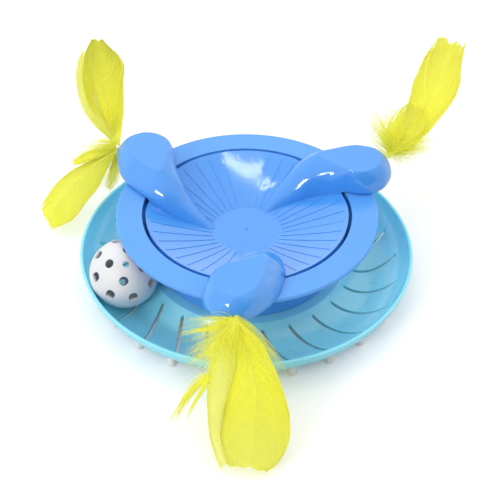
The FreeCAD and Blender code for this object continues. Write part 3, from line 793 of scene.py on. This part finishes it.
def inSocket(arm, radius, height):
    turn = math.radians(socket["angles"][arm])
    side = socket["side"]
    return (radius * math.cos(turn) - side * math.sin(turn), radius * math.sin(turn) + side * math.cos(turn), height)


def makeFeather(name, feather):
    dice = random.Random(feather["seed"])
    parts = MeshParts()
    usual = {"facing": feather["facing"]}
    height = socket[feather["level"]]
    seat = inSocket(feather["arm"], socket["seat"], height)
    mouth = inSocket(feather["arm"], socket["mouth"], height)
    spines = []
    for values in feather["plumes"]:
        plume = {**usualPlume, **usual, **values}
        spines.append(makeSpine([mouth] + plume["path"], plume["facing"]))
        addVane(parts, spines[-1], plume, dice)
    addShaft(parts, seat, spines[0])
    for values in feather["downs"]:
        down = {**usualDown, **values}
        addDown(parts, spines[down["plume"]], down, dice)
    for values in feather["locks"]:
        addLock(parts, {**usualLock, **usual, **values}, dice)
    for values in feather["fans"]:
        addFan(parts, {**usualFan, **usual, **values}, dice)
    piece = parts.toObject(name, featherMaterials(feather["tone"]))
    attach(piece, "rotor")
    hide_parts(feather["node"])
    print("feather made:", name, len(parts.faces), "faces")


# Feathers: each one's plumes, its down, the fans of soft barbs at its root, and the locks that stand off

frontFeather = {
    "node": "feather_front", "arm": "front", "level": "upper", "seed": 11, "tone": "front",
    "facing": (0, -0.6, 0.8),
    "plumes": [
        {"path": [(-3.8, -108, 52.1), (0.7, -116, 46.3), (4.7, -128, 39.3), (6.6, -140, 30.8), (6.2, -151, 20.6),
                  (5.3, -160, 13), (3.8, -167, 7.3)],
         "facing": (0.05, -0.6, 0.8),
         "left": (4, 8.5, 10.5, 12.5, 12.5, 14.1, 15.8, 18.3, 18.9, 17.8, 15.4, 12.4, 8.5),
         "right": (6.5, 10.5, 12.5, 13.6, 14, 15, 16.4, 17.5, 18.4, 18.2, 16.6, 14.4, 11), "barbs": 190,
         "sweep": 0.55, "clump": (14, 34), "ragged": 0.3, "joined": 0.96, "cup": -0.09, "loose": 0.35},
        {"path": [(-8.8, -104, 54.6), (-11.9, -112, 49.4), (-13.8, -124, 42.5), (-15.2, -135, 34.5),
                  (-16, -145, 27.8), (-15.8, -153, 19.1), (-13, -160, 12.6), (-9.6, -165, 7.1)],
         "facing": (-0.15, -0.6, 0.8), "left": (3, 7, 9, 10, 10, 8.6, 6.8, 4.8, 3.4, 2.8, 2.7, 2.6, 2.5),
         "right": (2, 4.1, 5.7, 5.4, 5.8, 5.2, 4.5, 3.4, 2.6, 2.2, 2.4, 2.6, 2.5), "barbs": 110, "clump": (8, 20),
         "ragged": 0.6, "joined": 0.9, "cup": -0.1, "loose": 0.4, "slot": "pale"}],
    "downs": [
        {"plume": 1, "to": 0.36, "count": 110, "leftShare": 0.3, "lean": 1.2, "rise": -0.15, "length": 22,
         "thick": 0.12, "hairs": 13, "hairLength": 3.4, "hairWidth": 0.06, "droop": 0.1},
        {"to": 0.3, "count": 120, "leftShare": 0.6, "lean": 2, "rise": 0.05, "length": 25, "thick": 0.13,
         "hairs": 13, "hairLength": 3.2, "hairWidth": 0.06, "droop": 0.12},
        {"plume": 1, "from": 0.04, "to": 0.3, "count": 60, "leftShare": 0, "lean": 0.9, "rise": -0.1, "length": 26,
         "thick": 0.08, "hairLength": 3.6, "hairWidth": 0.04, "droop": 0.15, "slot": "pale"},
        {"to": 0.42, "count": 100, "leftShare": 1, "lean": 1.5, "rise": 0.05, "length": 24, "thick": 0.1,
         "hairLength": 2.6, "droop": 0.1}],
    "fans": [
        {"root": (-6.5, -101.5, 54.5), "count": 150, "thick": 0.13, "reach": (0.45, 1), "rootSpread": 1,
         "tipSpread": 1.6, "bend": 1.6, "hairWidth": 0.05,
         "tips": [(-40.6, -103, 54.9), (-38.4, -106, 48.7), (-34.5, -109, 43.3), (-31.7, -113, 38.8),
                  (-29.9, -118, 32.2), (-22.6, -124, 29.9)]},
        {"root": (-5.5, -101.5, 54.5), "count": 380, "thick": 0.24, "reach": (0.5, 1.05), "rootSpread": 0.9,
         "tipSpread": 1.4, "lift": 1.6, "hairs": 7, "hairLength": 2.8, "hairWidth": 0.07,
         "tips": [(-21.7, -114, 42.3), (-22.7, -119, 39.6), (-20.9, -125, 36.4), (-16.4, -129, 36),
                  (-11, -129, 37.6), (-4.5, -128, 39.9), (3.1, -125, 40), (9.6, -119, 40.3), (12.7, -116, 45.1)]},
        {"root": (-4.5, -101.5, 54), "count": 120, "thick": 0.12, "reach": (0.6, 1), "rootSpread": 1,
         "tipSpread": 1, "bend": 1, "hairs": 8, "hairLength": 2.6, "hairWidth": 0.05,
         "tips": [(7.1, -107, 52.9), (12.7, -109, 46.6), (17.8, -112, 40.4), (23.5, -116, 32.1), (25.3, -121, 25.5),
                  (20.7, -122, 29.5)]}],
    "locks": [
        {"root": (-19.9, -128.5, 38.6), "tip": (-41, -140, 10.8), "bend": (-1, 1, 2), "count": 30, "spread": 1.2,
         "rootSpread": 1.4, "thick": 0.34},
        {"root": (-20.2, -131.5, 36.6), "tip": (-32.8, -140, 12.3), "bend": (-0.5, 0, 1), "count": 10,
         "spread": 0.5, "rootSpread": 0.9, "thick": 0.26},
        {"root": (-7, -101, 54), "tip": (-39.2, -100, 52.1), "bend": (0, 0, 2.5), "count": 5, "spread": 0.5,
         "rootSpread": 0.6, "thick": 0.16, "slot": "pale"},
        {"root": (-9, -104, 50), "tip": (-38.1, -103, 43.5), "bend": (0, 0, 3), "count": 22, "spread": 0.8,
         "rootSpread": 1.6, "thick": 0.2},
        {"root": (-13, -108, 46), "tip": (-38, -106, 26), "bend": (0, 1, 3), "count": 26, "spread": 2.8,
         "rootSpread": 2.4, "thick": 0.14, "slot": "pale"},
        {"root": (-15, -112, 42), "tip": (-33, -109, 21.5), "bend": (-1, 1, 2), "count": 30, "spread": 2.2,
         "rootSpread": 2.2, "thick": 0.18, "slot": "down"},
        {"root": (7, -108, 49), "tip": (24.8, -118, 24), "bend": (1.5, 0, 1.5), "count": 22, "spread": 1.2,
         "rootSpread": 1.6, "thick": 0.14, "slot": "pale"},
        {"root": (-5, -100, 54.6), "tip": (14, -109, 44), "bend": (1.5, 0, 2), "count": 12, "spread": 0.6,
         "rootSpread": 0.6, "thick": 0.16, "slot": "pale"}],
}
makeFeather("frontFeather", frontFeather)

leftUpperFeather = {
    "node": "feather_left_upper", "arm": "left", "level": "upper", "seed": 23, "tone": "leftUpper",
    "facing": (0.3, -0.75, 0.55),
    "plumes": [
        {"path": [(-85.7, 68, 57.8), (-89.9, 79, 66.9), (-92.6, 88, 78.2), (-94.2, 98, 88.9), (-96.4, 108, 98.9)],
         "left": (2, 5, 7.5, 10, 12, 12.6, 12.9, 13.1, 12.2, 10.8, 8.7, 6.5, 4),
         "right": (3, 6, 8, 10, 11.5, 11.9, 12.3, 13.1, 14.3, 11.5, 7.2, 4.6, 2.5), "barbs": 170, "spread": 0.55,
         "clump": (12, 34), "ragged": 0.35, "joined": 0.92, "cup": 0.16, "barbWidth": 0.13, "loose": 0.2},
        {"path": [(-87.5, 66, 56.9), (-94.1, 74, 64.9), (-99.1, 80, 73.7), (-103.2, 88, 81.9), (-105.4, 96, 88.5),
                  (-105, 102, 93.6)],
         "left": (2, 3.6, 4.8, 6.6, 7.6, 7.9, 8.1, 7.3, 6, 4.5, 3, 1.9, 0.8),
         "right": (1, 1.2, 1.6, 1.9, 2.2, 2.6, 3.3, 3.9, 4.9, 5.3, 5, 4.3, 2.1), "barbs": 90, "clump": (5, 14),
         "ragged": 1, "joined": 0.8, "cup": 0.1, "barbWidth": 0.12, "loose": 0.4, "slot": "pale"}],
    "downs": [
        {"to": 0.22, "count": 50, "leftShare": 0.6, "lean": 1.5, "length": 16, "thick": 0.08, "hairLength": 2.6}],
    "fans": [
        {"root": (-86, 64, 57), "slot": "pale", "count": 60, "thick": 0.1,
         "tips": [(-114.5, 84, 86.7), (-112.7, 80, 79.6), (-109, 76, 71.7), (-105.1, 72, 67.7)]},
        {"root": (-85.5, 66, 58), "count": 90, "thick": 0.16, "reach": (0.4, 1), "hairs": 8, "hairLength": 2.6,
         "hairWidth": 0.05,
         "tips": [(-96, 84, 80), (-92, 86, 80), (-88, 84, 79), (-84, 80, 76)]}],
    "locks": [
        {"root": (-87, 64, 57), "tip": (-113, 72, 92.7), "bend": (-3, 0, -2), "count": 16, "spread": 1.4,
         "rootSpread": 1.2, "thick": 0.12, "slot": "pale"}],
}
makeFeather("leftUpperFeather", leftUpperFeather)

leftLowerFeather = {
    "node": "feather_left_lower", "arm": "left", "level": "lower", "seed": 37, "tone": "leftLower",
    "facing": (-0.4, -0.5, 0.75),
    "plumes": [
        {"path": [(-88.1, 53, 48.5), (-94.1, 48, 46.7), (-101.5, 44, 41.7), (-110.6, 41, 32.7), (-119.7, 40, 19.5),
                  (-127.8, 39.5, 4.5)],
         "left": (3, 6, 8.5, 12.4, 14.9, 14.6, 14.8, 15.7, 14.7, 11.9, 9.5, 7.2, 5),
         "right": (1, 2.6, 4.2, 5.6, 7.4, 9.2, 10.4, 11.6, 12.3, 12.6, 12.9, 13.1, 12.6), "barbs": 170,
         "sweep": 0.58, "spread": 0.55, "clump": (8, 24), "ragged": 0.6, "joined": 0.85, "cup": -0.13, "loose": 0.25},
        {"path": [(-87, 56, 51), (-92.5, 54, 50.8), (-98, 52, 49.9), (-103.6, 50, 48.1), (-109.2, 48, 46.4)],
         "left": (1, 2, 2.4, 2.8, 3.2, 3.4, 3.4, 3.2, 2.8, 2.4, 1.9, 1.5, 1.1),
         "right": (1.2, 2, 2.5, 2.8, 3, 3.3, 3.6, 3.6, 3.3, 2.8, 2.3, 1.9, 1.4), "barbs": 90, "sweep": 0.7,
         "clump": (3, 8), "ragged": 1.8, "joined": 0.55, "cup": -0.1, "barbWidth": 0.12, "loose": 0.7,
         "slot": "down"},
        {"path": [(-83.4, 55, 45.5), (-84.7, 52, 39.8), (-86.1, 50, 33.3), (-88.2, 48, 25.9)],
         "left": (0.5, 1.2, 1.3, 1.4, 1.9, 3.2, 4.2, 4.4, 4, 3.2, 2.6, 1.8, 1),
         "right": (0.5, 0.8, 1, 2, 3, 3.2, 3.4, 3.6, 3.8, 4, 4, 3.6, 2.8), "barbs": 40, "sweep": 0.75,
         "spread": 0.6, "clump": (3, 7), "ragged": 1.6, "joined": 0.45, "cup": -0.1, "barbWidth": 0.12,
         "loose": 0.6, "slot": "pale"}],
    "downs": [
        {"plume": 1, "to": 0.9, "count": 60, "leftShare": 0.2, "lean": 1.3, "rise": 0.1, "length": 13,
         "thick": 0.08, "hairLength": 2.8},
        {"from": 0.05, "to": 0.4, "count": 40, "leftShare": 1, "lean": 1.1, "rise": -0.1, "length": 16,
         "thick": 0.07, "hairLength": 3, "slot": "pale"}],
    "fans": [
        {"root": (-84.5, 57, 53), "count": 130, "thick": 0.13, "hairWidth": 0.05,
         "tips": [(-99.1, 56, 59.4), (-105.5, 55, 56.1), (-111.2, 53, 52), (-115.1, 50, 45.6), (-112.2, 49, 40.8),
                  (-105.6, 48, 42.5)]},
        {"root": (-84, 56, 48), "count": 130, "thick": 0.1, "hairLength": 3.2,
         "tips": [(-97.9, 47, 43.4), (-101.5, 46, 34.6), (-101.5, 46, 24.8), (-96.7, 47, 20), (-91.8, 48, 18.5),
                  (-85.4, 50, 21.9), (-78.9, 52, 27), (-76.3, 53, 31.1)]}],
    "locks": [
        {"root": (-82.5, 57, 56), "tip": (-100.2, 54, 59.3), "bend": (0, 0, 1), "count": 18, "spread": 1,
         "rootSpread": 1.2, "thick": 0.2, "slot": "down"}],
}
makeFeather("leftLowerFeather", leftLowerFeather)

rightFeather = {
    "node": "feather_right", "arm": "right", "level": "upper", "seed": 41, "tone": "right",
    "facing": (-0.25, -0.75, 0.6),
    "plumes": [
        {"path": [(94.3, 60, 55.3), (102, 68, 60.4), (109.8, 78, 67.3), (116.8, 89, 76.7), (122.5, 101, 87.7),
                  (127.5, 112, 98.7)],
         "left": (3, 4.5, 6, 8.2, 9.2, 10, 11.2, 12.8, 12.4, 12, 10.2, 8.9, 7.5),
         "right": (4, 6, 8, 9.6, 11.5, 11.5, 13.1, 14.5, 14.2, 11.8, 10.6, 10.4, 9.6), "barbs": 180, "spread": 0.55,
         "clump": (7, 22), "ragged": 0.7, "joined": 0.8, "cup": 0.14, "loose": 0.35},
        {"path": [(91, 58, 55.9), (96.7, 64, 60.9), (101.9, 72, 65.3), (105.9, 80, 70.5)],
         "left": (2, 4, 6, 9, 11, 12, 12, 11, 10, 9.5, 8.5, 7, 5),
         "right": (4, 7, 9, 10, 11, 12, 12.5, 12, 10.5, 9, 8, 6.5, 5), "barbs": 120, "sweep": 0.8, "spread": 0.75,
         "clump": (3, 10), "ragged": 1.7, "joined": 0.6, "cup": 0.1, "loose": 0.8, "slot": "down"}],
    "downs": [
        {"plume": 1, "to": 0.5, "count": 110, "leftShare": 0.5, "lean": 0.6, "length": 24, "thick": 0.08,
         "hairs": 12, "hairLength": 3.2},
        {"plume": 1, "to": 0.3, "count": 60, "leftShare": 0.6, "lean": 0.4, "length": 27, "thick": 0.07,
         "hairLength": 3.6, "hairWidth": 0.04, "slot": "pale"}],
    "fans": [
        {"root": (90.5, 57.5, 54.5), "count": 420, "thick": 0.24, "reach": (0.45, 1.02), "rootSpread": 1.6,
         "tipSpread": 1.8, "bend": 1.8, "lift": 2, "hairs": 8, "hairWidth": 0.07,
         "tips": [(73.5, 64, 69.8), (76.9, 66, 76.1), (84.5, 69, 77.2), (91.3, 72, 80.5), (97.6, 74, 76.8),
                  (105.8, 74, 70.2), (113.6, 71, 60.8), (121, 68.5, 57.5), (121.5, 67, 53), (117, 66, 47.5),
                  (116, 66, 50.4), (109.3, 64, 46.2), (99.7, 62, 44.3), (94.7, 60, 41.8)]},
        {"root": (90.5, 57.5, 54.5), "slot": "pale", "count": 70, "thick": 0.09, "reach": (0.6, 1), "tipSpread": 2,
         "bend": 2, "hairLength": 3.2,
         "tips": [(68.2, 63, 73.5), (70.5, 66, 79.1), (76.5, 68, 83.8), (85.4, 71, 83.4)]},
        {"root": (90.5, 57.5, 53.5), "slot": "pale", "count": 70, "thick": 0.09, "reach": (0.6, 1), "tipSpread": 2,
         "bend": 2, "hairLength": 3.2,
         "tips": [(119.4, 66, 48.8), (112.8, 63, 41.4), (94.3, 59, 37.7)]}],
    "locks": [
        {"root": (112, 78, 60), "tip": (135.8, 90, 78.6), "bend": (1, 0, -1), "count": 16, "spread": 0.5,
         "rootSpread": 0.9, "thick": 0.26}],
}
makeFeather("rightFeather", rightFeather)
